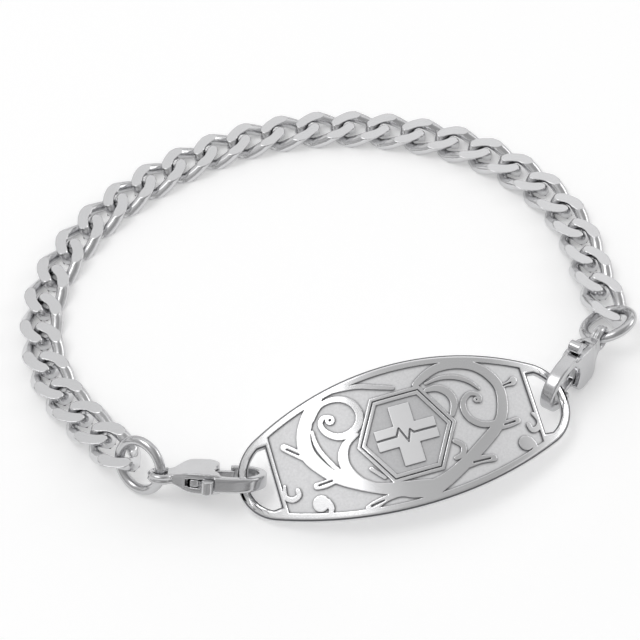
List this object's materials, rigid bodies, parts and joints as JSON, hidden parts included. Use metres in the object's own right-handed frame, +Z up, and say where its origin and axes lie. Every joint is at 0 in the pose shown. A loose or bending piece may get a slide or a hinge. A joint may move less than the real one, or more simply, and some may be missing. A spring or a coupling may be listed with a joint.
{
  "type": "medical alert bracelet",
  "caption": "Steel curb-chain medical alert bracelet with a curved oval plate in relief, held by a spring-lever lobster clasp and a jump ring at each end.",
  "frame": {"origin": "on the table, under the middle of the bracelet's box", "axes": "+X along the longer way across the loop, towards the right clasp; +Y from the plate towards the far side of the chain; +Z up"},
  "size_m": [0.0812, 0.0706, 0.0106],
  "materials": {
    "plate_steel": "polished rim and relief on a fine satin ground",
    "polished_steel": "polished",
    "satin_steel": "ground satin faces with polished sides"
  },
  "bodies": {
    "bracelet": {"id_plate": "plate_steel", "jump_ring_left": "polished_steel", "jump_ring_right": "polished_steel", "clasp_body_left": "polished_steel", "clasp_body_right": "polished_steel", "lever_pin_left": "polished_steel", "lever_pin_right": "polished_steel", "link_01": "satin_steel", "link_02": "satin_steel", "link_03": "satin_steel", "link_04": "satin_steel", "link_05": "satin_steel", "link_06": "satin_steel", "link_07": "satin_steel", "link_08": "satin_steel", "link_09": "satin_steel", "link_10": "satin_steel", "link_11": "satin_steel", "link_12": "satin_steel", "link_13": "satin_steel", "link_14": "satin_steel", "link_15": "satin_steel", "link_16": "satin_steel", "link_17": "satin_steel", "link_18": "satin_steel", "link_19": "satin_steel", "link_20": "satin_steel", "link_21": "satin_steel", "link_22": "satin_steel", "link_23": "satin_steel", "link_24": "satin_steel", "link_25": "satin_steel", "link_26": "satin_steel", "link_27": "satin_steel", "link_28": "satin_steel"},
    "lever_left": {"clasp_lever_left": "polished_steel"},
    "lever_right": {"clasp_lever_right": "polished_steel"}
  },
  "joints": [
    {"name": "lever_left_hinge", "type": "hinge", "parent": "bracelet", "child": "lever_left", "pos_m": [-0.01733, -0.02666, 0.0031], "axis": [-0.1499, -0.5919, -0.792], "range_deg": [0, 22], "stiffness_Nm_per_rad": 0.008, "springref_deg": -20.05},
    {"name": "lever_right_hinge", "type": "hinge", "parent": "bracelet", "child": "lever_right", "pos_m": [0.0322, -0.01505, 0.0033], "axis": [-0.7529, 0.6514, -0.0937], "range_deg": [0, 22], "stiffness_Nm_per_rad": 0.008, "springref_deg": -20.05}
  ]
}
